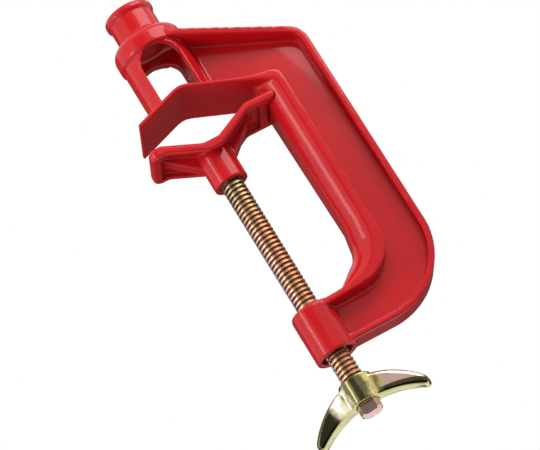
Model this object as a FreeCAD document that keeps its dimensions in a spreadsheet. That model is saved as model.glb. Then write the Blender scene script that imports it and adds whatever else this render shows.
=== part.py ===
"""Screw clamp with a lamp spigot.

A cast C frame carries a round spigot and a fixed vee jaw at its upper end and a threaded boss
at its lower end. A trapezoidal screw with a wing handle runs through the boss and carries a
moving vee jaw, whose forked end slides along the inner rib. Sizes are in millimetres. The origin
is the centre of the spigot's seat, +Z runs up the common axis of spigot and screw, and +X points
to the spine of the C.
"""

import FreeCAD
import Part
import Sketcher
import math
import operator
import os
from types import SimpleNamespace

SHEET_NAME = "Sizes"

# Every driving size, in millimetres or degrees. Levels are heights along Z.
SIZES = {
    # spigot and post
    "spigot_radius": 12.5,
    "spigot_length": 14.5,
    "rim_radius": 13.7,
    "rim_height": 4.0,
    "rim_rounding": 1.2,
    "spigot_foot": 1.2,
    "collar_radius": 19.2,
    "collar_shoulder": 5.0,
    "collar_bottom": -11.5,
    "collar_groove": 0.9,
    "post_radius": 18.2,
    "post_bottom": -50.0,
    "window_half_width": 11.0,
    "window_arch_level": -22.5,
    "window_far_rise": 2.8,
    "hollow_radius": 13.5,
    "hollow_top": -5.5,
    "hollow_top_rounding": 5.0,
    "hollow_floor": -30.0,
    "hollow_floor_rounding": 3.0,
    # fixed jaw
    "jaw_apex": -42.1,
    "jaw_slope": 20.0,
    "jaw_back_slope": 22.4,
    "jaw_front": 29.0,
    "jaw_bend": 33.0,
    "jaw_back": 49.5,
    "jaw_back_fall": 1.6,
    "jaw_back_rounding": 6.0,
    "jaw_thickness": 2.4,
    "jaw_half_width": 18.5,
    "jaw_fold": 4.5,
    "jaw_fold_curve": 12.4,
    # outer flange and web
    "flange_root": 18.0,
    "flange_root_level": -11.5,
    "flange_fall": 0.47,
    "flange_thickness": 3.5,
    "flange_half_top": 17.5,
    "flange_half_shoulder": 11.5,
    "flange_shoulder_level": -36.0,
    "flange_half_bottom": 7.0,
    "spine_reach": 73.7,
    "arm_bottom": -202.7,
    "upper_corner": 12.0,
    "lower_corner": 40.0,
    "web_thickness": 6.0,
    # inner rib
    "rib_rim": 48.0,
    "rib_back": 1.5,
    "rib_side_bulge": 2.2,
    "rib_corner_centre": 28.0,
    "rib_corner_level": -159.0,
    "rib_corner_rim": 20.1,
    "rib_top": -58.5,
    "rib_top_tilt": 18.0,
    "rib_top_flare": 6.0,
    "rib_top_drop": 4.0,
    "rib_top_half": 18.5,
    "rib_top_depth": 11.5,
    "rib_top_rounding": 9.0,
    "rib_straight_end": -147.0,
    "rib_corner_half": 15.0,
    "rib_corner_depth": 14.0,
    "rib_corner_swell": 3.6,
    "rib_corner_sink": 6.2,
    "rib_corner_rounding": 10.5,
    "rib_corner_narrowing": 2.0,
    "rib_arm_reach": 18.0,
    "rib_arm_level": -179.5,
    "rib_arm_half": 12.0,
    "rib_arm_depth": 2.7,
    "rib_arm_rounding": 2.4,
    "rib_foot_reach": 5.0,
    "rib_foot_level": -179.2,
    "rib_foot_half": 9.5,
    "rib_foot_depth": 2.7,
    "rib_foot_rounding": 2.4,
    # screw boss
    "boss_radius": 11.3,
    "boss_top": -176.0,
    "boss_bottom": -204.0,
    "boss_rounding": 2.2,
    "screw_bore_radius": 6.06,
    "mouth_radius": 8.5,
    "mouth_depth": 6.0,
    # screw
    "thread_radius": 6.0,
    "thread_root": 4.75,
    "thread_pitch": 2.54,
    "thread_top": -88.0,
    "thread_flank": 0.36,
    "thread_crest": 0.94,
    "screw_shoulder": -85.0,
    "screw_collar_radius": 5.9,
    "thread_sink": 0.15,
    "thread_runout": 0.5,
    "pivot_radius": 4.0,
    "pivot_chamfer": 0.5,
    "pivot_top": -76.4,
    "ring_groove_radius": 3.2,
    "ring_groove_top": -77.6,
    "ring_groove_bottom": -78.7,
    "tang_top": -219.5,
    "tang_bottom": -239.2,
    "tang_half_flat": 4.5,
    "tang_chamfer": 1.0,
    # moving jaw
    "pad_front": 32.0,
    "pad_back": 47.0,
    "pad_top": -65.0,
    "pad_back_top": -64.3,
    "pad_bend": 24.5,
    "pad_floor_half": 4.5,
    "pad_floor": -74.2,
    "pad_thickness": 5.8,
    "pad_back_thickness": 5.0,
    "pad_fold": 1.0,
    "pad_fold_curve": 5.0,
    "pad_skin": 2.2,
    "pad_lip": 3.4,
    "pad_end_lip": 4.5,
    "pad_corner": 5.0,
    "pad_rounding": 1.8,
    "pad_half_width": 16.0,
    "pad_rib_thickness": 7.0,
    "pad_rib_level": -84.4,
    "pad_rib_root": 8.0,
    "pad_rib_end": 26.5,
    "guide_gap": 0.7,
    "hub_radius": 9.4,
    "hub_top": -72.2,
    "hub_bottom": -95.5,
    "hub_bore_radius": 6.5,
    "hub_seat": -84.0,
    "pivot_bore_radius": 4.08,
    "pocket_radius": 7.2,
    "pocket_floor": -78.8,
    # thrust washer and retaining ring
    "washer_inner": 4.2,
    "washer_outer": 6.2,
    "washer_gap": 0.05,
    "ring_outer": 6.4,
    "ring_thickness": 1.0,
    "ring_sweep": 300.0,
    # wing handle
    "wing_turn": -15.5,
    "wing_hub_radius": 9.0,
    "wing_hub_bottom": -233.4,
    "wing_root": 8.0,
    "wing_root_level": -221.0,
    "wing_shoulder": 31.3,
    "wing_shoulder_level": -237.2,
    "wing_heel": 30.8,
    "wing_heel_level": -243.2,
    "wing_arch_level": -233.5,
    "wing_top_curve": 48.0,
    "wing_tip_curve": 4.4,
    "wing_arch_curve": 54.0,
    "wing_half_thickness": 5.0,
    "wing_heel_rounding": 2.0,
    "wing_rounding": 2.2,
    "wing_fit_gap": 0.03,
    "wing_key_inset": 0.5,
}

# How far a cut runs past the faces that it opens.
PAST = 2.0

# Two places closer than this are taken as one.
NEAR = 0.05

# Steps of the inner rib's sections: under the fixed jaw, and between the spine and the lower arm.
RIB_TOP_STEPS = 4
RIB_CORNER_STEPS = 9


class Size:
    """A number together with the spreadsheet expression that gives it."""

    def __init__(self, value, text):
        self.value = float(value)
        self.text = text

    def __add__(self, other):
        return joined("+", operator.add, self, other)

    def __radd__(self, other):
        return joined("+", operator.add, other, self)

    def __sub__(self, other):
        return joined("-", operator.sub, self, other)

    def __rsub__(self, other):
        return joined("-", operator.sub, other, self)

    def __mul__(self, other):
        return joined("*", operator.mul, self, other)

    def __rmul__(self, other):
        return joined("*", operator.mul, other, self)

    def __neg__(self):
        return 0 - self


def as_size(thing):
    """Give a plain number the same form as a named size."""
    if isinstance(thing, Size):
        return thing
    return Size(thing, repr(float(thing)))


def joined(sign, work, left, right):
    """Combine two sizes with one arithmetic sign."""
    left = as_size(left)
    right = as_size(right)
    return Size(work(left.value, right.value), f"({left.text} {sign} {right.text})")


def tangent(angle):
    """Slope of a line at an angle in degrees."""
    return Size(math.tan(math.radians(angle.value)), f"tan({angle.text})")


def slant_length(slope):
    """Length of a slanted line for each unit along its base."""
    return Size(math.hypot(1.0, slope.value), f"sqrt(1 + {slope.text} * {slope.text})")


size = SimpleNamespace(**{name: Size(value, f"{SHEET_NAME}.{name}") for name, value in SIZES.items()})


def make_sheet(doc):
    """Write every driving size to a cell with its own alias."""
    sheet = doc.addObject("Spreadsheet::Sheet", SHEET_NAME)
    for row, (alias, value) in enumerate(SIZES.items(), start=1):
        sheet.set(f"A{row}", alias)
        sheet.set(f"B{row}", str(value))
        sheet.setAlias(f"B{row}", alias)
    doc.recompute()


def new_body(doc, name):
    body = doc.addObject("PartDesign::Body", name)
    body.Label = name
    return body


def origin_feature(body, role):
    return next(feature for feature in body.Origin.OriginFeatures if feature.Role == role)


def bind(feature, path, value):
    """Tie one property to its size, or to the plain number where it has no name."""
    feature.setExpression(path, as_size(value).text)


def new_sketch(body, name, plane):
    sketch = body.newObject("Sketcher::SketchObject", name)
    sketch.AttachmentSupport = [(origin_feature(body, plane), "")]
    sketch.MapMode = "FlatFace"
    return sketch


def edge_between(start, end, radius):
    """One edge of an outline, with the ends that match the outline's direction."""
    if radius is None:
        return Part.LineSegment(start, end), 1, 2
    chord = end - start
    half = chord.Length / 2.0
    left = FreeCAD.Vector(-chord.y, chord.x, 0).normalize()
    offset = math.copysign(math.sqrt(radius.value ** 2 - half ** 2), radius.value)
    centre = (start + end) * 0.5 + left * offset
    from_angle = math.atan2(start.y - centre.y, start.x - centre.x)
    to_angle = math.atan2(end.y - centre.y, end.x - centre.x)
    circle = Part.Circle(centre, FreeCAD.Vector(0, 0, 1), abs(radius.value))
    if radius.value > 0:
        return Part.ArcOfCircle(circle, from_angle, to_angle), 1, 2
    return Part.ArcOfCircle(circle, to_angle, from_angle), 2, 1


def hold_point(sketch, edge, end, corner):
    """Hold one end of an edge at its corner of the outline."""
    for kind, axis_line, value in (("DistanceX", -2, corner[0]), ("DistanceY", -1, corner[1])):
        place = as_size(value)
        if place.value == 0.0:
            sketch.addConstraint(Sketcher.Constraint("PointOnObject", edge, end, axis_line))
            continue
        index = sketch.addConstraint(Sketcher.Constraint(kind, edge, end, place.value))
        bind(sketch, f"Constraints[{index}]", place)


def add_loop(sketch, corners, curves=None):
    """Close an outline through its corners.

    Curves maps the number of an edge to its radius, positive where the centre lies on the left
    of the direction of travel.
    """
    curves = curves or {}
    points = [FreeCAD.Vector(as_size(x).value, as_size(y).value, 0) for x, y in corners]
    edges = []
    for number, start in enumerate(points):
        end = points[(number + 1) % len(points)]
        radius = as_size(curves[number]) if number in curves else None
        shape, first, last = edge_between(start, end, radius)
        edges.append((sketch.addGeometry(shape, False), first, last, radius))
    for number, (edge, first, last, radius) in enumerate(edges):
        following, following_first = edges[(number + 1) % len(edges)][:2]
        sketch.addConstraint(Sketcher.Constraint("Coincident", edge, last, following, following_first))
        hold_point(sketch, edge, first, corners[number])
        if radius is not None:
            index = sketch.addConstraint(Sketcher.Constraint("Radius", edge, abs(radius.value)))
            bind(sketch, f"Constraints[{index}]", radius if radius.value > 0 else -radius)


def outline(body, name, plane, corners, curves=None):
    sketch = new_sketch(body, name, plane)
    add_loop(sketch, corners, curves)
    return sketch


def mirrored(corners):
    """The same corners on the other side of the sketch's upright axis."""
    return [(-as_size(x), y) for x, y in corners]


def box(left, bottom, right, top):
    return [(left, bottom), (right, bottom), (right, top), (left, top)]


def pad(body, name, sketch, length):
    feature = body.newObject("PartDesign::Pad", name)
    feature.Profile = sketch
    feature.SideType = "Symmetric"
    bind(feature, "Length", length)
    sketch.Visibility = False
    return feature


def pocket(body, name, sketch, length=None):
    """Cut an outline through the body, or over one length about the sketch's plane."""
    feature = body.newObject("PartDesign::Pocket", name)
    feature.Profile = sketch
    feature.SideType = "Symmetric"
    if length is None:
        feature.Type = "ThroughAll"
    else:
        feature.Type = "Length"
        bind(feature, "Length", length)
    sketch.Visibility = False
    return feature


def turn(body, kind, name, corners, sweep=360.0, curves=None):
    """Turn a half outline about the Z axis, adding or cutting material."""
    sketch = outline(body, f"{name}_outline", "XZ_Plane", corners, curves)
    feature = body.newObject(f"PartDesign::{kind}", name)
    feature.Profile = sketch
    feature.ReferenceAxis = (origin_feature(body, "Z_Axis"), [""])
    bind(feature, "Angle", sweep)
    sketch.Visibility = False
    return feature


def round_edges(body, name, radius, chosen):
    """Round the edges of the body so far that the chosen test picks out."""
    body.Document.recompute()
    base = body.Tip
    names = [f"Edge{number}" for number, edge in enumerate(base.Shape.Edges, start=1) if chosen(edge)]
    if not names:
        raise RuntimeError(f"{name}: no edge to round")
    feature = body.newObject("PartDesign::Fillet", name)
    feature.Base = (base, names)
    bind(feature, "Radius", radius)
    return feature


def cross_edge_at(x, z):
    """Test for a straight edge along Y at one point of the XZ plane."""
    def chosen(edge):
        middle = edge.CenterOfMass
        low, high = edge.BoundBox.YMin, edge.BoundBox.YMax
        flat = edge.BoundBox.XLength < NEAR and edge.BoundBox.ZLength < NEAR
        near = math.hypot(middle.x - as_size(x).value, middle.z - as_size(z).value) < NEAR
        return flat and near and high - low > NEAR
    return chosen


def circle_at(radius, z):
    """Test for a circle about the Z axis at one height."""
    def chosen(edge):
        curve = edge.Curve
        if not isinstance(curve, Part.Circle) or edge.BoundBox.ZLength > NEAR:
            return False
        same_radius = abs(curve.Radius - as_size(radius).value) < NEAR
        return same_radius and abs(edge.CenterOfMass.z - as_size(z).value) < NEAR
    return chosen


def upright_edge(edge):
    """Test for a straight edge along Z."""
    return edge.BoundBox.XLength < NEAR and edge.BoundBox.YLength < NEAR


def fold_edge(front, back):
    """Test for the fold lines of a folded plate, between its front and back ends."""
    def chosen(edge):
        across = edge.BoundBox.XLength < NEAR and edge.BoundBox.ZLength < NEAR
        return across and NEAR - front.value < edge.CenterOfMass.x < back.value - NEAR
    return chosen


def rim_edge(half_width, front, back):
    """Test for the outer edges of a folded plate whose corners are rounded."""
    def chosen(edge):
        middle = edge.CenterOfMass
        inside = -front.value < middle.x < back.value and abs(middle.y) < half_width.value
        return not inside and not upright_edge(edge)
    return chosen


def flange_level(reach, depth):
    """Height of the sloping top flange at one reach, a depth below its outer face."""
    fall = size.flange_fall * (reach - size.flange_root)
    return size.flange_root_level - fall - depth * slant_length(size.flange_fall)


def jaw_level(reach, rise):
    """Height on the front of the fixed jaw's vee at one reach, a rise above its underside."""
    return size.jaw_apex - reach * tangent(size.jaw_slope) + rise


def jaw_back_level(reach, rise):
    """The same on the vee's other side, which runs to the spine."""
    return size.jaw_apex - reach * tangent(size.jaw_back_slope) + rise


def add_flange(body):
    """Outer flange: from the collar down the slope, along the spine and back to the boss."""
    start = 0.5 * size.post_radius
    inner_reach = size.spine_reach - size.flange_thickness
    inner_bottom = size.arm_bottom + size.flange_thickness
    outer_corner = flange_level(size.spine_reach, 0)
    inner_corner = flange_level(inner_reach, size.flange_thickness)
    corners = [
        (start, flange_level(start, 0)),
        (start, flange_level(start, size.flange_thickness)),
        (inner_reach, inner_corner),
        (inner_reach, inner_bottom),
        (0, inner_bottom),
        (0, size.arm_bottom),
        (size.spine_reach, size.arm_bottom),
        (size.spine_reach, outer_corner),
    ]
    sketch = outline(body, "flange_outline", "XZ_Plane", corners)
    pad(body, "flange", sketch, 2 * size.flange_half_top)
    round_edges(body, "upper_corner_outside", size.upper_corner,
                cross_edge_at(size.spine_reach, outer_corner))
    round_edges(body, "upper_corner_inside", size.upper_corner - size.flange_thickness,
                cross_edge_at(inner_reach, inner_corner))
    round_edges(body, "lower_corner_outside", size.lower_corner,
                cross_edge_at(size.spine_reach, size.arm_bottom))
    round_edges(body, "lower_corner_inside", size.lower_corner - size.flange_thickness,
                cross_edge_at(inner_reach, inner_bottom))


def taper_flange(body):
    """Narrow the flange from the collar to the foot of the spine."""
    clear = size.flange_half_top + PAST
    side = [
        (size.flange_half_top, PAST),
        (size.flange_half_top, size.flange_root_level),
        (size.flange_half_shoulder, size.flange_shoulder_level),
        (size.flange_half_bottom, size.arm_bottom - PAST),
        (clear, size.arm_bottom - PAST),
        (clear, PAST),
    ]
    sketch = outline(body, "taper_outline", "YZ_Plane", side)
    add_loop(sketch, mirrored(side))
    pocket(body, "flange_taper", sketch)


def add_web(body):
    """Thin web that joins flange, post, fixed jaw and inner rib."""
    half = 0.5 * size.flange_thickness
    outer_reach = size.spine_reach - half
    outer_bottom = size.arm_bottom + half
    outer_curve = size.lower_corner - half
    inner_reach = size.rib_rim + 0.5 * size.rib_back
    inner_curve = inner_reach - size.rib_corner_centre
    inner_bottom = size.rib_corner_level - inner_curve
    jaw_middle = 0.5 * size.jaw_thickness
    start = 0.5 * size.post_radius
    corners = [
        (start, flange_level(start, half)),
        (start, jaw_back_level(start, jaw_middle)),
        (size.jaw_bend, jaw_back_level(size.jaw_bend, jaw_middle)),
        (inner_reach, jaw_back_level(size.jaw_bend, jaw_middle) - size.jaw_back_fall),
        (inner_reach, size.rib_corner_level),
        (size.rib_corner_centre, inner_bottom),
        (0, inner_bottom),
        (0, outer_bottom),
        (outer_reach - outer_curve, outer_bottom),
        (outer_reach, outer_bottom + outer_curve),
        (outer_reach, flange_level(outer_reach, half)),
    ]
    sketch = outline(body, "web_outline", "XZ_Plane", corners, {4: -inner_curve, 8: outer_curve})
    pad(body, "web", sketch, size.web_thickness)


def rib_section(body, name, place, angle, shape):
    """One rounded section of the inner rib; its rim lies at the given place."""
    half_width, depth, edge_radius = shape
    x, z = place
    sketch = new_sketch(body, name, "XY_Plane")
    offset = FreeCAD.Vector(as_size(x).value, 0, as_size(z).value)
    sketch.AttachmentOffset = FreeCAD.Placement(offset, FreeCAD.Rotation(FreeCAD.Vector(0, 1, 0), angle))
    bind(sketch, "AttachmentOffset.Base.x", x)
    bind(sketch, "AttachmentOffset.Base.z", z)
    side_end = edge_radius - depth
    crown_half = half_width - edge_radius
    corners = [
        (size.rib_back, -half_width),
        (size.rib_back, half_width),
        (side_end, half_width),
        (-depth, crown_half),
        (-depth, -crown_half),
        (side_end, -half_width),
    ]
    bulge = size.rib_side_bulge * edge_radius
    add_loop(sketch, corners, {2: bulge, 4: bulge})
    sketch.Visibility = False
    return sketch


def add_rib(body):
    """Inner rib of the C: down the spine, round the lower corner and along the lower arm."""
    end = (size.rib_corner_half, size.rib_top_depth, size.rib_top_rounding)
    arm = (size.rib_arm_half, size.rib_arm_depth, size.rib_arm_rounding)
    foot = (size.rib_foot_half, size.rib_foot_depth, size.rib_foot_rounding)
    sections = []
    for step in range(RIB_TOP_STEPS + 1):
        lowered = step / RIB_TOP_STEPS
        flare = size.rib_top_flare * (1 - math.sqrt(1 - (1 - lowered) ** 2))
        shape = (size.rib_top_half, size.rib_top_depth + flare, size.rib_top_rounding)
        place = (size.rib_rim, size.rib_top - lowered * size.rib_top_drop)
        tilt = size.rib_top_tilt.value * (1 - lowered)
        sections.append(rib_section(body, f"rib_top_{step}", place, tilt, shape))
    straight_end = (size.rib_rim, size.rib_straight_end)
    sections.append(rib_section(body, "rib_straight_end", straight_end, 0.0, end))
    for step in range(RIB_CORNER_STEPS + 1):
        turned = step / RIB_CORNER_STEPS
        angle = 90.0 * turned
        x = size.rib_corner_centre + size.rib_corner_rim * math.cos(math.radians(angle))
        z = size.rib_corner_level - size.rib_corner_rim * math.sin(math.radians(angle))
        narrowing = size.rib_corner_narrowing * turned
        depth = size.rib_corner_depth + size.rib_corner_swell * turned - size.rib_corner_sink * turned ** 2
        shape = (size.rib_corner_half - narrowing, depth, size.rib_corner_rounding - narrowing)
        sections.append(rib_section(body, f"rib_corner_{step}", (x, z), angle, shape))
    sections.append(rib_section(body, "rib_arm", (size.rib_arm_reach, size.rib_arm_level), 90.0, arm))
    sections.append(rib_section(body, "rib_foot", (size.rib_foot_reach, size.rib_foot_level), 90.0, foot))
    loft = body.newObject("PartDesign::AdditiveLoft", "inner_rib")
    loft.Profile = sections[0]
    loft.Sections = sections[1:]
    loft.Ruled = True


def add_post(body):
    """Round post with its collar, the spigot and the spigot's rim."""
    rim_bottom = size.spigot_length
    rim_top = size.spigot_length + size.rim_height
    turn(body, "Revolution", "post", [
        (0, rim_top),
        (0, size.post_bottom),
        (size.post_radius, size.post_bottom),
        (size.post_radius, size.collar_bottom - 2 * size.collar_groove),
        (size.post_radius - size.collar_groove, size.collar_bottom - size.collar_groove),
        (size.collar_radius, size.collar_bottom),
        (size.collar_radius, -size.collar_shoulder),
        (size.collar_radius - size.collar_shoulder, 0),
        (size.rim_radius, 0),
        (size.rim_radius, size.spigot_foot),
        (size.spigot_radius, size.spigot_foot),
        (size.spigot_radius, rim_bottom),
        (size.rim_radius, rim_bottom),
        (size.rim_radius, rim_top - size.rim_rounding),
        (size.rim_radius - size.rim_rounding, rim_top),
    ], 360.0, {6: size.collar_shoulder, 13: size.rim_rounding})


def window_outline(body, name, reach, arch_rise):
    """Arched window outline on a plane at one reach along Y."""
    middle = 0.5 * size.jaw_thickness
    half = size.window_half_width
    spring = size.window_arch_level + arch_rise
    sketch = new_sketch(body, name, "XZ_Plane")
    bind(sketch, "AttachmentOffset.Base.z", -as_size(reach))
    add_loop(sketch, [
        (-half, spring),
        (-half, jaw_level(half, middle)),
        (0, jaw_level(0, middle)),
        (half, jaw_back_level(half, middle)),
        (half, spring),
        (0, spring + half),
    ], {4: half, 5: half})
    sketch.Visibility = False
    return sketch


def hollow_post(body):
    """Round hollow in the post, with an arched window on either side."""
    top_edge = size.hollow_radius - size.hollow_top_rounding
    floor_edge = size.hollow_radius - size.hollow_floor_rounding
    turn(body, "Groove", "post_hollow", [
        (0, size.hollow_top),
        (0, size.hollow_floor),
        (floor_edge, size.hollow_floor),
        (size.hollow_radius, size.hollow_floor + size.hollow_floor_rounding),
        (size.hollow_radius, size.hollow_top - size.hollow_top_rounding),
        (top_edge, size.hollow_top),
    ], 360.0, {2: size.hollow_floor_rounding, 4: size.hollow_top_rounding})
    through = size.collar_radius + PAST
    window = body.newObject("PartDesign::SubtractiveLoft", "post_window")
    window.Profile = window_outline(body, "window_near", -through, 0)
    window.Sections = [window_outline(body, "window_far", through, size.window_far_rise)]
    window.Ruled = True


def add_fixed_jaw(body):
    """Folded plate of the fixed vee jaw, with the space below it cut free."""
    middle = 0.5 * size.jaw_thickness
    beyond = size.jaw_front + PAST
    bottom = size.rib_top - PAST
    clear_reach = size.rib_rim - size.rib_top_depth - size.rib_top_flare
    below = outline(body, "jaw_opening_outline", "XZ_Plane", [
        (-beyond, jaw_level(beyond, middle)),
        (-beyond, bottom),
        (clear_reach, bottom),
        (clear_reach, jaw_back_level(clear_reach, middle)),
        (0, jaw_level(0, middle)),
    ])
    pocket(body, "jaw_opening", below)
    back_top = jaw_back_level(size.jaw_bend, size.jaw_thickness) - size.jaw_back_fall
    rounding_end = back_top - size.jaw_back_rounding
    rounding_start = size.jaw_back - size.jaw_back_rounding
    plate = outline(body, "jaw_plate_outline", "XZ_Plane", [
        (-size.jaw_front, jaw_level(size.jaw_front, 0)),
        (-size.jaw_fold, jaw_level(size.jaw_fold, 0)),
        (size.jaw_fold, jaw_back_level(size.jaw_fold, 0)),
        (size.jaw_bend, jaw_back_level(size.jaw_bend, 0)),
        (rounding_start, rounding_end),
        (size.jaw_back, rounding_end),
        (rounding_start, back_top),
        (size.jaw_bend, jaw_back_level(size.jaw_bend, size.jaw_thickness)),
        (size.jaw_fold, jaw_back_level(size.jaw_fold, size.jaw_thickness)),
        (-size.jaw_fold, jaw_level(size.jaw_fold, size.jaw_thickness)),
        (-size.jaw_front, jaw_level(size.jaw_front, size.jaw_thickness)),
    ], {1: -size.jaw_fold_curve, 5: size.jaw_back_rounding, 8: size.jaw_fold_curve})
    pad(body, "jaw_plate", plate, 2 * size.jaw_half_width)


def add_screw_boss(body):
    """Boss at the end of the lower arm, bored for the screw."""
    turn(body, "Revolution", "screw_boss", box(0, size.boss_bottom, size.boss_radius, size.boss_top))
    round_edges(body, "boss_top_edge", size.boss_rounding, circle_at(size.boss_radius, size.boss_top))
    step = size.boss_bottom + size.mouth_depth
    bore_top = size.boss_top + size.boss_radius
    turn(body, "Groove", "screw_bore", [
        (0, bore_top),
        (0, size.boss_bottom - PAST),
        (size.mouth_radius, size.boss_bottom - PAST),
        (size.mouth_radius, step),
        (size.screw_bore_radius, step + size.mouth_radius - size.screw_bore_radius),
        (size.screw_bore_radius, bore_top),
    ])


def make_clamp_frame(doc):
    body = new_body(doc, "clamp_frame")
    add_flange(body)
    taper_flange(body)
    add_web(body)
    add_rib(body)
    add_post(body)
    hollow_post(body)
    add_fixed_jaw(body)
    add_screw_boss(body)
    return body


def make_clamp_screw(doc):
    body = new_body(doc, "clamp_screw")
    turn(body, "Revolution", "core", [
        (0, size.pivot_top),
        (size.pivot_radius - size.pivot_chamfer, size.pivot_top),
        (size.pivot_radius, size.pivot_top - size.pivot_chamfer),
        (size.pivot_radius, size.ring_groove_top),
        (size.ring_groove_radius, size.ring_groove_top),
        (size.ring_groove_radius, size.ring_groove_bottom),
        (size.pivot_radius, size.ring_groove_bottom),
        (size.pivot_radius, size.screw_shoulder),
        (size.screw_collar_radius, size.screw_shoulder),
        (size.screw_collar_radius, size.thread_top),
        (size.thread_root, size.thread_top),
        (size.thread_root, size.tang_top),
        (size.thread_radius, size.tang_top),
        (size.thread_radius, size.tang_bottom + size.tang_chamfer),
        (size.thread_radius - size.tang_chamfer, size.tang_bottom),
        (0, size.tang_bottom),
    ])
    tooth_root = size.thread_root - size.thread_sink
    tooth_width = size.thread_crest + 2 * size.thread_flank
    first = size.tang_top - size.thread_runout
    tooth = outline(body, "tooth_outline", "XZ_Plane", [
        (tooth_root, first),
        (size.thread_radius, first + size.thread_flank),
        (size.thread_radius, first + size.thread_flank + size.thread_crest),
        (tooth_root, first + tooth_width),
    ])
    thread = body.newObject("PartDesign::AdditiveHelix", "thread")
    thread.Profile = tooth
    thread.ReferenceAxis = (origin_feature(body, "Z_Axis"), [""])
    thread.Mode = 0
    thread.LeftHanded = False
    bind(thread, "Pitch", size.thread_pitch)
    bind(thread, "Height", size.thread_top + size.thread_runout - first - tooth_width)
    tooth.Visibility = False
    beyond = size.thread_radius + PAST
    flat = box(size.tang_half_flat, size.tang_bottom - PAST, beyond, size.tang_top)
    flats = outline(body, "flats_outline", "YZ_Plane", flat)
    add_loop(flats, mirrored(flat))
    pocket(body, "tang_flats", flats)
    return body


def add_jaw_plate(body):
    """Folded plate of the moving jaw, hollowed from below to leave a lip all round."""
    lower_top = size.pad_top - size.pad_thickness
    lower_floor = size.pad_floor - size.pad_thickness
    lower_back = size.pad_back_top - size.pad_back_thickness
    plate = outline(body, "plate_outline", "XZ_Plane", [
        (-size.pad_front, size.pad_top),
        (-size.pad_front, lower_top),
        (size.pad_fold - size.pad_bend, lower_top),
        (size.pad_fold - size.pad_floor_half, lower_floor),
        (size.pad_floor_half - size.pad_fold, lower_floor),
        (size.pad_bend - size.pad_fold, lower_back),
        (size.pad_back, lower_back),
        (size.pad_back, size.pad_back_top),
        (size.pad_bend, size.pad_back_top),
        (size.pad_floor_half, size.pad_floor),
        (-size.pad_floor_half, size.pad_floor),
        (-size.pad_bend, size.pad_top),
    ])
    pad(body, "plate", plate, 2 * size.pad_half_width)
    round_edges(body, "plate_folds", size.pad_fold_curve, fold_edge(size.pad_front, size.pad_back))
    round_edges(body, "plate_corners", size.pad_corner, upright_edge)
    inner_edges = (size.pad_half_width - size.pad_corner, size.pad_front - size.pad_corner,
                   size.pad_back - size.pad_corner)
    round_edges(body, "plate_rim", size.pad_rounding, rim_edge(*inner_edges))
    roof = size.pad_top - size.pad_skin
    roof_back = size.pad_back_top - size.pad_skin
    roof_middle = size.pad_floor - size.pad_skin
    below = lower_floor - size.pad_skin
    recess_front = size.pad_end_lip - size.pad_front
    recess_back = size.rib_rim - size.rib_top_depth - size.guide_gap - size.pad_end_lip
    recess = outline(body, "recess_outline", "XZ_Plane", [
        (recess_front, roof),
        (recess_front, below),
        (recess_back, below),
        (recess_back, roof_back),
        (size.pad_bend, roof_back),
        (size.pad_floor_half, roof_middle),
        (-size.pad_floor_half, roof_middle),
        (-size.pad_bend, roof),
    ])
    pocket(body, "recess", recess, 2 * (size.pad_half_width - size.pad_lip))


def cut_guide_fork(body):
    """Fork in the plate's end that slides along the rounded inner rib."""
    crown = size.rib_rim - size.rib_top_depth - size.guide_gap
    crown_half = size.rib_top_half - size.rib_top_rounding
    side_end = crown + size.rib_top_rounding
    bulge = size.rib_side_bulge * size.rib_top_rounding
    beyond = size.pad_back + size.pad_corner
    fork = outline(body, "fork_outline", "XY_Plane", [
        (beyond, -size.rib_top_half),
        (beyond, size.rib_top_half),
        (side_end, size.rib_top_half),
        (crown, crown_half),
        (crown, -crown_half),
        (side_end, -size.rib_top_half),
    ], {2: bulge, 4: bulge})
    pocket(body, "guide_fork", fork)


def make_moving_jaw(doc):
    body = new_body(doc, "moving_jaw")
    add_jaw_plate(body)
    cut_guide_fork(body)
    half_skin = 0.5 * size.pad_skin
    rib_side = [
        (size.pad_rib_root, size.pad_rib_level),
        (size.pad_rib_end, size.pad_top - size.pad_skin),
        (size.pad_bend, size.pad_top - half_skin),
        (size.pad_floor_half, size.pad_floor - half_skin),
    ]
    rib = outline(body, "rib_outline", "XZ_Plane", rib_side + mirrored(rib_side)[::-1])
    pad(body, "rib", rib, size.pad_rib_thickness)
    turn(body, "Revolution", "hub", box(0, size.hub_bottom, size.hub_radius, size.hub_top))
    vee = outline(body, "vee_outline", "XZ_Plane", [
        (-size.pad_bend, size.pad_top),
        (-size.pad_floor_half, size.pad_floor),
        (size.pad_floor_half, size.pad_floor),
        (size.pad_bend, size.pad_back_top),
        (0, size.pad_back_top + PAST),
    ])
    pocket(body, "vee_above_hub", vee)
    turn(body, "Groove", "hub_bore", [
        (0, size.pad_top),
        (0, size.hub_bottom - PAST),
        (size.hub_bore_radius, size.hub_bottom - PAST),
        (size.hub_bore_radius, size.hub_seat),
        (size.pivot_bore_radius, size.hub_seat),
        (size.pivot_bore_radius, size.pocket_floor),
        (size.pocket_radius, size.pocket_floor),
        (size.pocket_radius, size.pad_top),
    ])
    return body


def make_thrust_washer(doc):
    body = new_body(doc, "jaw_thrust_washer")
    turn(body, "Revolution", "washer", box(
        size.washer_inner, size.screw_shoulder + size.washer_gap,
        size.washer_outer, size.hub_seat - size.washer_gap,
    ))
    return body


def make_retaining_ring(doc):
    body = new_body(doc, "jaw_retaining_ring")
    bottom = size.ring_groove_bottom + 0.5 * size.washer_gap
    turn(body, "Revolution", "ring", box(
        size.ring_groove_radius + size.washer_gap, bottom, size.ring_outer, bottom + size.ring_thickness,
    ), size.ring_sweep)
    return body


def heel_edge(edge):
    """Test for the cross edges at the lower ends of the wings' tips."""
    middle = edge.CenterOfMass
    across = edge.BoundBox.XLength < NEAR and edge.BoundBox.ZLength < NEAR
    return across and abs(middle.z - size.wing_heel_level.value) < NEAR


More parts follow.
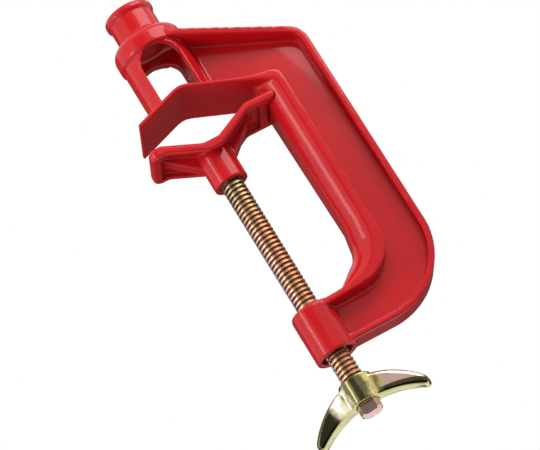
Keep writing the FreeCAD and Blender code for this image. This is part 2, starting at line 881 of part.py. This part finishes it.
def wing_side_edge(edge):
    """Test for the outline's edges on the two side faces of the wings."""
    return abs(abs(edge.CenterOfMass.y) - size.wing_half_thickness.value) < NEAR


def make_wing_handle(doc):
    body = new_body(doc, "wing_handle")
    wing = outline(body, "wing_outline", "XZ_Plane", [
        (-size.wing_root, size.wing_root_level),
        (-size.wing_shoulder, size.wing_shoulder_level),
        (-size.wing_heel, size.wing_heel_level),
        (0, size.wing_arch_level),
        (size.wing_heel, size.wing_heel_level),
        (size.wing_shoulder, size.wing_shoulder_level),
        (size.wing_root, size.wing_root_level),
    ], {
        0: size.wing_top_curve,
        1: size.wing_tip_curve,
        2: -size.wing_arch_curve,
        3: -size.wing_arch_curve,
        4: size.wing_tip_curve,
        5: size.wing_top_curve,
    })
    pad(body, "wings", wing, 2 * size.wing_half_thickness)
    round_edges(body, "wing_heels", size.wing_heel_rounding, heel_edge)
    round_edges(body, "wing_edges", size.wing_rounding, wing_side_edge)
    turn(body, "Revolution", "hub", box(0, size.wing_hub_bottom, size.wing_hub_radius, size.tang_top))
    hole_radius = size.thread_radius + size.wing_fit_gap
    turn(body, "Groove", "tang_hole", box(0, size.tang_bottom, hole_radius, size.tang_top + PAST))
    key_face = size.tang_half_flat + size.wing_fit_gap
    key_root = 0.5 * (size.thread_radius + size.wing_hub_radius)
    flat = box(key_face, size.wing_hub_bottom, key_root, size.tang_top - size.wing_key_inset)
    keys = outline(body, "key_outline", "YZ_Plane", flat)
    add_loop(keys, mirrored(flat))
    pad(body, "tang_keys", keys, size.thread_radius)
    return body


def turned_to_rest(body):
    """Turn a piece about the screw's axis to the rest position of the wings."""
    axis = FreeCAD.Vector(0, 0, 1)
    body.Placement = FreeCAD.Placement(FreeCAD.Vector(), FreeCAD.Rotation(axis, size.wing_turn.value))
    return body


def check_and_write(doc, bodies):
    """Stop on any feature that failed, then write one file for each piece."""
    for thing in doc.Objects:
        if "Invalid" in thing.State or "Error" in thing.State:
            raise RuntimeError(f"{thing.Label}: {thing.State}")
    os.makedirs("parts", exist_ok=True)
    for body in bodies:
        shape = body.Shape
        if shape.isNull() or not shape.isValid() or len(shape.Solids) != 1:
            raise RuntimeError(f"{body.Label}: not one valid solid")
        shape.exportStep(f"parts/{body.Label}.step")
        print(f"{body.Label}: {shape.Volume / 1000.0:.2f} cm3")


def main():
    doc = FreeCAD.newDocument("screw_clamp")
    make_sheet(doc)
    bodies = [
        make_clamp_frame(doc),
        turned_to_rest(make_clamp_screw(doc)),
        make_moving_jaw(doc),
        make_thrust_washer(doc),
        make_retaining_ring(doc),
        turned_to_rest(make_wing_handle(doc)),
    ]
    doc.recompute()
    check_and_write(doc, bodies)


main()
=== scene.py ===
import math

import bpy
from mathutils import Matrix, Vector

# Looks of the screw clamp: red enamelled castings, a yellow passivated screw and wing handle.
# Lengths are in metres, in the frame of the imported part: +Z up the screw, +X to the spine.

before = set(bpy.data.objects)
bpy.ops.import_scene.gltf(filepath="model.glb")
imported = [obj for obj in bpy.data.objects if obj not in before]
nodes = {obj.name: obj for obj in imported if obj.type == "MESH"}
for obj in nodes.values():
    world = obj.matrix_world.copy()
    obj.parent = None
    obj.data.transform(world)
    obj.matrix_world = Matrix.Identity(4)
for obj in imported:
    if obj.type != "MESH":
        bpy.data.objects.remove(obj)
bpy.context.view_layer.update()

MM = 0.001

# The point that lamps and cards face, near the middle of the clamp.
MIDDLE = Vector((0.02, 0.0, -0.11))

# Heights on the screw: the green by the jaw fades in upwards, and the tang starts below the thread.
# The screw's other colours drift across it, from its open side to its spine side: partly plating tint,
# partly a painted reflection that is lighter on the open side.
GREEN_START = -118 * MM
GREEN_FULL = -90 * MM
THREAD_END = -224 * MM
TANG_START = -230 * MM
DRIFT_WIDTH = 16 * MM
DRIFT_DIRECTION = (1.0, -0.2, 0.0)

# Radii between which the painted shade in the thread's roots grows.
UNSHADED_CREST = 5.9 * MM
SHADED_ROOT = 4.9 * MM

# The wings' long axis, turned about the screw from the X axis. Their lower edge is an arch: its
# height at the screw, and its fall for each square metre of reach along the wings.
WING_TURN = math.radians(-15.5)
WING_SPAN = 64 * MM
WING_ARCH = -233.5 * MM
WING_ARCH_SAG = 10.0

# Voxel of each cast skin, and the smoothing passes over it.
FRAME_SKIN = (0.6 * MM, 5)
JAW_SKIN = (0.4 * MM, 5)
WING_SKIN = (0.35 * MM, 20)

# Directions in the part's frame.
UP = (0.0, 0.0, 1.0)
DOWN = (0.0, 0.0, -1.0)
ALONG_WINGS = (math.cos(WING_TURN), math.sin(WING_TURN), 0.0)

# Linear colours of the finishes.
RED = (0.56, 0.008, 0.012)
RED_SHADE = (0.48, 0.006, 0.010)
# Painted shade for the enamel's hollows.
RED_HOLLOW_SHADE = (0.34, 0.004, 0.007)
STRAW = (0.74, 0.62, 0.26)
CREAM = (0.88, 0.79, 0.58)
ROSE = (0.78, 0.52, 0.45)
OLIVE = (0.21, 0.19, 0.085)
DARK_OLIVE = (0.12, 0.11, 0.05)
LIME_STRAW_SHEEN = (0.64, 0.59, 0.27)
COPPER = (0.68, 0.34, 0.18)
TAN = (0.66, 0.43, 0.22)
BLUSH = (0.84, 0.60, 0.51)
GREEN_STRAW = (0.40, 0.42, 0.22)
# Painted shade of the thread's roots.
ROOT_SHADE_BROWN = (0.32, 0.11, 0.07)
# Soot for the stains, and the painted dark reflection on the right wing's edge.
SOOT_AND_DARK_REFLECTION = (0.10, 0.08, 0.04)
STEEL = (0.62, 0.62, 0.61)
STEEL_SHADE = (0.5, 0.5, 0.5)
WHITE = (1.0, 1.0, 1.0)
FLOOR_PALE = (0.84, 0.84, 0.83)
FLOOR_SHADE = (0.8, 0.8, 0.79)
CARD_BLACK = (0.03, 0.03, 0.03)
CARD_SHADE = (0.02, 0.02, 0.02)


class Wire:
    """A shader socket that takes part in Python sums."""

    def __init__(self, shading, socket):
        self.shading = shading
        self.socket = socket

    def __add__(self, other):
        return self.shading.math("ADD", self, other)

    __radd__ = __add__

    def __sub__(self, other):
        return self.shading.math("SUBTRACT", self, other)

    def __rsub__(self, other):
        return self.shading.math("SUBTRACT", other, self)

    def __mul__(self, other):
        return self.shading.math("MULTIPLY", self, other)

    __rmul__ = __mul__

    def __truediv__(self, other):
        return self.shading.math("DIVIDE", self, other)

    def __rtruediv__(self, other):
        return self.shading.math("DIVIDE", other, self)


class Shading:
    """The shader nodes of one material or of the world."""

    def __init__(self, owner):
        owner.use_nodes = True
        self.tree = owner.node_tree
        self.tree.nodes.clear()

    def add(self, kind, settings=None, sockets=None, out=0):
        """Add one node: its settings first, then the values or links of its sockets."""
        node = self.tree.nodes.new(kind)
        for key, value in (settings or {}).items():
            if key == "stops":
                set_stops(node.color_ramp, value)
            else:
                setattr(node, key, value)
        for key, value in (sockets or {}).items():
            socket = node.inputs[key]
            if isinstance(value, Wire):
                self.tree.links.new(value.socket, socket)
            elif socket.type == "RGBA":
                socket.default_value = (*value, 1.0)
            else:
                socket.default_value = value
        if len(node.outputs) == 0:
            return None
        return Wire(self, node.outputs[out])

    def math(self, operation, first, second):
        """Work on two values with one Math node."""
        return self.add("ShaderNodeMath", {"operation": operation}, {0: first, 1: second})

    def ray(self, kind):
        """1 where the ray is of one kind, otherwise 0."""
        return self.add("ShaderNodeLightPath", out=f"Is {kind} Ray")


class Finish(Shading):
    """One material and the nodes that make it."""

    def __init__(self, name):
        self.material = bpy.data.materials.new(name)
        super().__init__(self.material)

    def place(self):
        """The point on the piece, in the part's own frame."""
        return self.add("ShaderNodeTexCoord", out="Object")

    def radius(self):
        """Distance from the screw's axis."""
        flat = self.add("ShaderNodeVectorMath", {"operation": "MULTIPLY"},
                        {0: self.place(), 1: (1.0, 1.0, 0.0)})
        return self.add("ShaderNodeVectorMath", {"operation": "LENGTH"}, {0: flat}, out="Value")

    def along(self, direction):
        """How far the point lies along one direction from the origin."""
        return self.add("ShaderNodeVectorMath", {"operation": "DOT_PRODUCT"},
                        {0: self.place(), 1: direction}, out="Value")

    def facing(self, direction):
        """How far the surface faces one direction, from -1 to 1."""
        normal = self.add("ShaderNodeTexCoord", out="Normal")
        return self.add("ShaderNodeVectorMath", {"operation": "DOT_PRODUCT"},
                        {0: normal, 1: direction}, out="Value")

    def noise(self, size, detail=2.0, roughness=0.5, stretch=(1.0, 1.0, 1.0)):
        """Smooth random values from 0 to 1 whose spots are about one size across."""
        spread = self.add("ShaderNodeMapping", {"vector_type": "POINT"},
                          {"Vector": self.place(), "Scale": stretch})
        return self.add("ShaderNodeTexNoise", {"noise_dimensions": "3D"}, {
            "Vector": spread, "Scale": 1.0 / size, "Detail": detail, "Roughness": roughness})

    def ramp(self, value, *stops):
        """Colours that run from stop to stop as the value grows."""
        return self.add("ShaderNodeValToRGB", {"stops": stops}, {"Fac": value})

    def mask(self, value, low, high):
        """Values from 0 to 1 as the input goes from low to high."""
        return self.add("ShaderNodeMapRange", {"interpolation_type": "SMOOTHSTEP"}, {
            "Value": value, "From Min": low, "From Max": high})

    def blend(self, amount, first, second):
        """Mix two colours."""
        first_colour, second_colour, mixed_colour = 6, 7, 2
        return self.add("ShaderNodeMix", {"data_type": "RGBA"},
                        {"Factor": amount, first_colour: first, second_colour: second}, out=mixed_colour)

    def bump(self, height, depth, strength=1.0, under=None):
        """Tilt the surface by a height, on top of another bump where one is given."""
        sockets = {"Height": height, "Distance": depth, "Strength": strength}
        if under is not None:
            sockets["Normal"] = under
        return self.add("ShaderNodeBump", None, sockets)

    def close(self, shader):
        """Send a shader to the material's output."""
        self.add("ShaderNodeOutputMaterial", None, {"Surface": shader})
        return self.material

    def surface(self, **sockets):
        """Close the material with one principled shader."""
        named = {key.replace("_", " "): value for key, value in sockets.items()}
        return self.close(self.add("ShaderNodeBsdfPrincipled", None, named))


def set_stops(ramp, stops):
    """Set a colour ramp from pairs of place and colour."""
    while len(ramp.elements) < len(stops):
        ramp.elements.new(1.0)
    for element, (place, colour) in zip(ramp.elements, stops):
        element.position = place
        element.color = (*colour, 1.0)


def red_enamel(name, cloud_size):
    """Thick glossy paint over a casting: faint waves, fine orange peel, and painted shade that deepens the
    red in the hollows.
    """
    finish = Finish(name)
    clouds = finish.noise(cloud_size, 3.0)
    paint = finish.ramp(clouds, (0.25, RED_SHADE), (0.75, RED))
    # Painted shade: the hollows of the casting are painted a deeper red.
    raised = finish.mask(finish.add("ShaderNodeNewGeometry", out="Pointiness"), 0.44, 0.51)
    colour = finish.blend(raised, RED_HOLLOW_SHADE, paint)
    waves = finish.bump(finish.noise(7 * MM, 1.0), 0.12 * MM, 0.35)
    peel = finish.bump(finish.noise(0.8 * MM, 2.0), 0.012 * MM, 0.35, waves)
    rough = finish.mask(finish.noise(5 * MM, 4.0), 0.2, 0.9) * 0.08 + 0.2
    return finish.surface(Base_Color=colour, Roughness=rough, Normal=peel, Specular_IOR_Level=0.15,
                          Coat_Weight=0.4, Coat_Roughness=0.04)


def passivated_screw():
    """Rolled thread, yellow passivated: rose to copper crests, partly a painted reflection that lightens
    the open side, painted shade in the roots, green by the jaw.
    """
    finish = Finish("passivated_screw")
    height = finish.along(UP)
    # Partly plating tint, partly painted reflection: lighter blush on the open side, copper towards the
    # spine.
    across = finish.along(DRIFT_DIRECTION) / DRIFT_WIDTH + 0.5
    drift = across + finish.noise(6 * MM, 3.0, 0.6) * 0.4 - 0.2
    tint_and_sheen = finish.ramp(drift, (0.2, BLUSH), (0.45, TAN), (0.6, COPPER), (0.85, TAN))
    by_jaw = finish.mask(height + finish.noise(9 * MM, 2.0) * (20 * MM), GREEN_START, GREEN_FULL)
    tint_and_sheen = finish.blend(by_jaw * 0.75, tint_and_sheen, GREEN_STRAW)
    tang = finish.mask(height, THREAD_END, TANG_START)
    tint_and_sheen = finish.blend(tang, tint_and_sheen, ROSE)
    # Painted shade: the thread's roots are painted a darker brown than its crests.
    root = finish.mask(finish.radius(), UNSHADED_CREST, SHADED_ROOT) * (1.0 - tang)
    root_shade = root * (finish.noise(1.1 * MM, 2.0) * 0.4 + 0.62)
    colour = finish.blend(root_shade, tint_and_sheen, ROOT_SHADE_BROWN)
    rough = finish.mask(finish.noise(1.5 * MM, 3.0), 0.25, 0.8) * 0.14 + 0.34 - tang * 0.2
    grain = finish.bump(finish.noise(0.7 * MM, 2.0), 0.03 * MM, 0.5)
    return finish.surface(Base_Color=colour, Metallic=1.0, Roughness=rough, Normal=grain)


def wing_tint_and_sheen(finish, reach):
    """Colours of the wings: olive, cream, straw and rose from tip to tip, partly passivation tint and
    partly painted reflection, with sooty stains.

    The right wing's lower edge gets a painted dark reflection, more of it towards the tip, and faces
    turned down get a lighter painted reflection.
    """
    # Partly plating tint, partly painted reflection: the cream patch by the hub and the olive and rose
    # bands stand in for reflections.
    drift = reach / WING_SPAN + 0.5 + finish.noise(7 * MM, 3.0, 0.6) * 0.16 - 0.08
    tint_and_sheen = finish.ramp(drift, (0.22, DARK_OLIVE), (0.30, CREAM), (0.39, CREAM), (0.42, OLIVE),
                       (0.56, OLIVE), (0.60, STRAW), (0.66, STRAW), (0.72, ROSE))
    # Painted dark reflection along the right wing's lower edge, widening towards the tip.
    above_arch = finish.along(UP) - WING_ARCH + reach * reach * WING_ARCH_SAG
    painted_dark_edge = finish.mask(above_arch - reach * 0.09, 2.6 * MM, 1.8 * MM)
    right_wing = finish.mask(reach, 8 * MM, 12 * MM)
    tint_and_sheen = finish.blend(painted_dark_edge * right_wing, tint_and_sheen, SOOT_AND_DARK_REFLECTION)
    # Painted reflection: faces turned down are painted a lighter lime straw.
    under = finish.mask(finish.facing(DOWN), 0.55, 0.85)
    tint_and_sheen = finish.blend(under, tint_and_sheen, LIME_STRAW_SHEEN)
    stains = finish.mask(finish.noise(3.5 * MM, 4.0, 0.65, (1.0, 1.0, 0.35)), 0.56, 0.72)
    return finish.blend(stains * 0.4, tint_and_sheen, SOOT_AND_DARK_REFLECTION)


def passivated_wing():
    """Smooth casting, yellow passivated, whose side faces swell towards the hub."""
    finish = Finish("passivated_wing")
    reach = finish.along(ALONG_WINGS)
    rough = finish.mask(finish.noise(3 * MM, 4.0), 0.25, 0.8) * 0.1 + 0.1
    left_root = finish.mask(reach * -1.0, 20 * MM, 6 * MM)
    right_root = finish.mask(reach, 36 * MM, 4 * MM)
    swell = finish.bump(left_root + right_root * 2.0, 2.7 * MM)
    dents = finish.bump(finish.noise(9 * MM, 1.5), 0.8 * MM, 0.6, swell)
    grain = finish.bump(finish.noise(0.9 * MM, 3.0), 0.02 * MM, 0.4, dents)
    return finish.surface(Base_Color=wing_tint_and_sheen(finish, reach), Metallic=1.0, Roughness=rough, Normal=grain)


def bright_steel():
    """Plain turned steel of the washer and the ring."""
    finish = Finish("bright_steel")
    turned = finish.noise(0.3 * MM, 2.0, 0.5, (1.0, 1.0, 8.0))
    colour = finish.ramp(turned, (0.3, STEEL_SHADE), (0.7, STEEL))
    return finish.surface(Base_Color=colour, Metallic=1.0, Roughness=turned * 0.15 + 0.25)


def dress(node, material):
    """Give a CAD node one finish all over."""
    node.data.materials.clear()
    node.data.materials.append(material)


def cast_skin(node, voxel, passes):
    """Melt the sharp edges of a casting into soft rounds and fillets."""
    skin = node.modifiers.new("cast_skin", "REMESH")
    skin.mode = "VOXEL"
    skin.voxel_size = voxel
    skin.use_smooth_shade = True
    melt = node.modifiers.new("melted_edges", "SMOOTH")
    melt.factor = 0.5
    melt.iterations = passes


def show(name, data):
    """Put new data into the scene as an object."""
    shown = bpy.data.objects.new(name, data)
    bpy.context.scene.collection.objects.link(shown)
    return shown


def face_clamp(thing, azimuth, reach, level):
    """Stand a thing round the screw's axis, 0 degrees in front, and turn it to the clamp."""
    angle = math.radians(azimuth)
    place = Vector((reach * math.sin(angle), -reach * math.cos(angle), level))
    thing.location = place
    thing.rotation_euler = (MIDDLE - place).to_track_quat("-Z", "Y").to_euler()


def flat_sheet(name, width, height, level=0.0):
    """Mesh of one level rectangle about the origin."""
    corners = [(-width / 2, -height / 2, level), (width / 2, -height / 2, level),
               (width / 2, height / 2, level), (-width / 2, height / 2, level)]
    mesh = bpy.data.meshes.new(name)
    mesh.from_pydata(corners, [], [(0, 1, 2, 3)])
    return mesh


def add_softbox(name, azimuth, reach, level, width, height, power):
    """Soft lamp that lights the surfaces. Reflections leave it out and show the cards."""
    lamp = bpy.data.lights.new(name, "AREA")
    lamp.shape = "RECTANGLE"
    lamp.size = width
    lamp.size_y = height
    lamp.energy = power
    softbox = show(name, lamp)
    face_clamp(softbox, azimuth, reach, level)
    softbox.visible_glossy = False


def add_card(name, azimuth, reach, level, width, height, glow):
    """Card that only reflections see, as a studio uses to give metal its contrast."""
    mesh = flat_sheet(name, width, height)
    finish = Finish(name)
    weave = finish.ramp(finish.noise(50 * MM, 2.0), (0.3, CARD_SHADE), (0.7, CARD_BLACK))
    mesh.materials.append(finish.surface(Base_Color=weave, Roughness=0.9, Specular_IOR_Level=0.0,
                                         Emission_Color=WHITE, Emission_Strength=glow))
    card = show(name, mesh)
    face_clamp(card, azimuth, reach, level)
    card.visible_camera = False
    card.visible_diffuse = False
    card.visible_shadow = False


def add_floor(level, width):
    """Pale floor well below the clamp, which is held up by whatever it grips."""
    mesh = flat_sheet("floor", width, width, level)
    finish = Finish("pale_floor")
    shade = finish.ramp(finish.noise(400 * MM, 2.0), (0.3, FLOOR_SHADE), (0.7, FLOOR_PALE))
    lit = finish.add("ShaderNodeBsdfDiffuse", None, {"Color": shade})
    white = finish.add("ShaderNodeEmission", None, {"Color": WHITE, "Strength": 1.0})
    whiteness = finish.ray("Camera") * 0.7 + finish.ray("Glossy")
    seen = finish.add("ShaderNodeMixShader", None, {"Fac": whiteness, 1: lit, 2: white})
    mesh.materials.append(finish.close(seen))
    floor = show("floor", mesh)


def set_world(ambient):
    """White to the camera and in reflections, a softer even light on the surfaces."""
    world = bpy.data.worlds.new("studio")
    bpy.context.scene.world = world
    studio = Shading(world)
    seen = studio.math("MAXIMUM", studio.ray("Camera"), studio.ray("Glossy"))
    seen = studio.math("MAXIMUM", seen, studio.ray("Transmission"))
    level = studio.add("ShaderNodeMapRange", None, {"Value": seen, "To Min": ambient, "To Max": 1.0})
    background = studio.add("ShaderNodeBackground", None, {"Color": WHITE, "Strength": level})
    studio.add("ShaderNodeOutputWorld", None, {"Surface": background})


def add_camera():
    """Camera under the clamp and a little to its open side, rolled so that the screw slants."""
    azimuth = math.radians(-12.0)
    elevation = math.radians(-22.0)
    roll = math.radians(31.84)
    place = Vector((-0.24851, -1.19591, -0.61912))
    back = Vector((math.sin(azimuth) * math.cos(elevation), -math.cos(azimuth) * math.cos(elevation),
                   math.sin(elevation)))
    level_right = Vector((math.cos(azimuth), math.sin(azimuth), 0.0))
    level_up = back.cross(level_right)
    right = math.cos(roll) * level_right - math.sin(roll) * level_up
    up = math.sin(roll) * level_right + math.cos(roll) * level_up
    camera = bpy.data.cameras.new("camera")
    camera.sensor_width = 36.0
    camera.lens = 173.33
    camera_object = show("camera", camera)
    turn = Matrix((right, up, back)).transposed().to_4x4()
    camera_object.matrix_world = Matrix.Translation(place) @ turn
    bpy.context.scene.camera = camera_object


dress(nodes["clamp_frame"], red_enamel("red_enamel", 30 * MM))
dress(nodes["moving_jaw"], red_enamel("red_enamel_jaw", 22 * MM))
dress(nodes["clamp_screw"], passivated_screw())
dress(nodes["wing_handle"], passivated_wing())
steel = bright_steel()
dress(nodes["jaw_thrust_washer"], steel)
dress(nodes["jaw_retaining_ring"], steel)

cast_skin(nodes["clamp_frame"], *FRAME_SKIN)
cast_skin(nodes["moving_jaw"], *JAW_SKIN)
cast_skin(nodes["wing_handle"], *WING_SKIN)

add_floor(level=-0.95, width=12.0)
set_world(ambient=0.55)

add_softbox("left_softbox", azimuth=-66.0, reach=0.6, level=-0.02, width=0.28, height=0.4, power=2.4)
add_softbox("right_softbox", azimuth=48.0, reach=0.6, level=0.32, width=0.4, height=0.26, power=3.0)
add_softbox("front_softbox", azimuth=5.0, reach=0.9, level=0.8, width=0.5, height=0.4, power=3.4)

add_card("left_strip", azimuth=-62.0, reach=0.6, level=-0.02, width=0.12, height=0.5, glow=5.0)
add_card("right_strip", azimuth=46.0, reach=0.6, level=0.3, width=0.62, height=0.32, glow=4.5)
add_card("front_left_card", azimuth=-20.0, reach=1.3, level=-0.1, width=0.92, height=2.0, glow=0.2)
add_card("front_right_card", azimuth=26.0, reach=1.3, level=-0.1, width=1.3, height=2.0, glow=0.65)
add_card("back_card", azimuth=178.0, reach=0.5, level=-0.1, width=1.4, height=1.1, glow=0.06)
add_card("low_card", azimuth=20.0, reach=0.45, level=-0.78, width=1.2, height=1.1, glow=0.03)
add_card("white_card", azimuth=175.0, reach=0.12, level=-0.3, width=0.3, height=0.1, glow=1.0)

add_camera()

bpy.context.scene.view_settings.view_transform = "Standard"
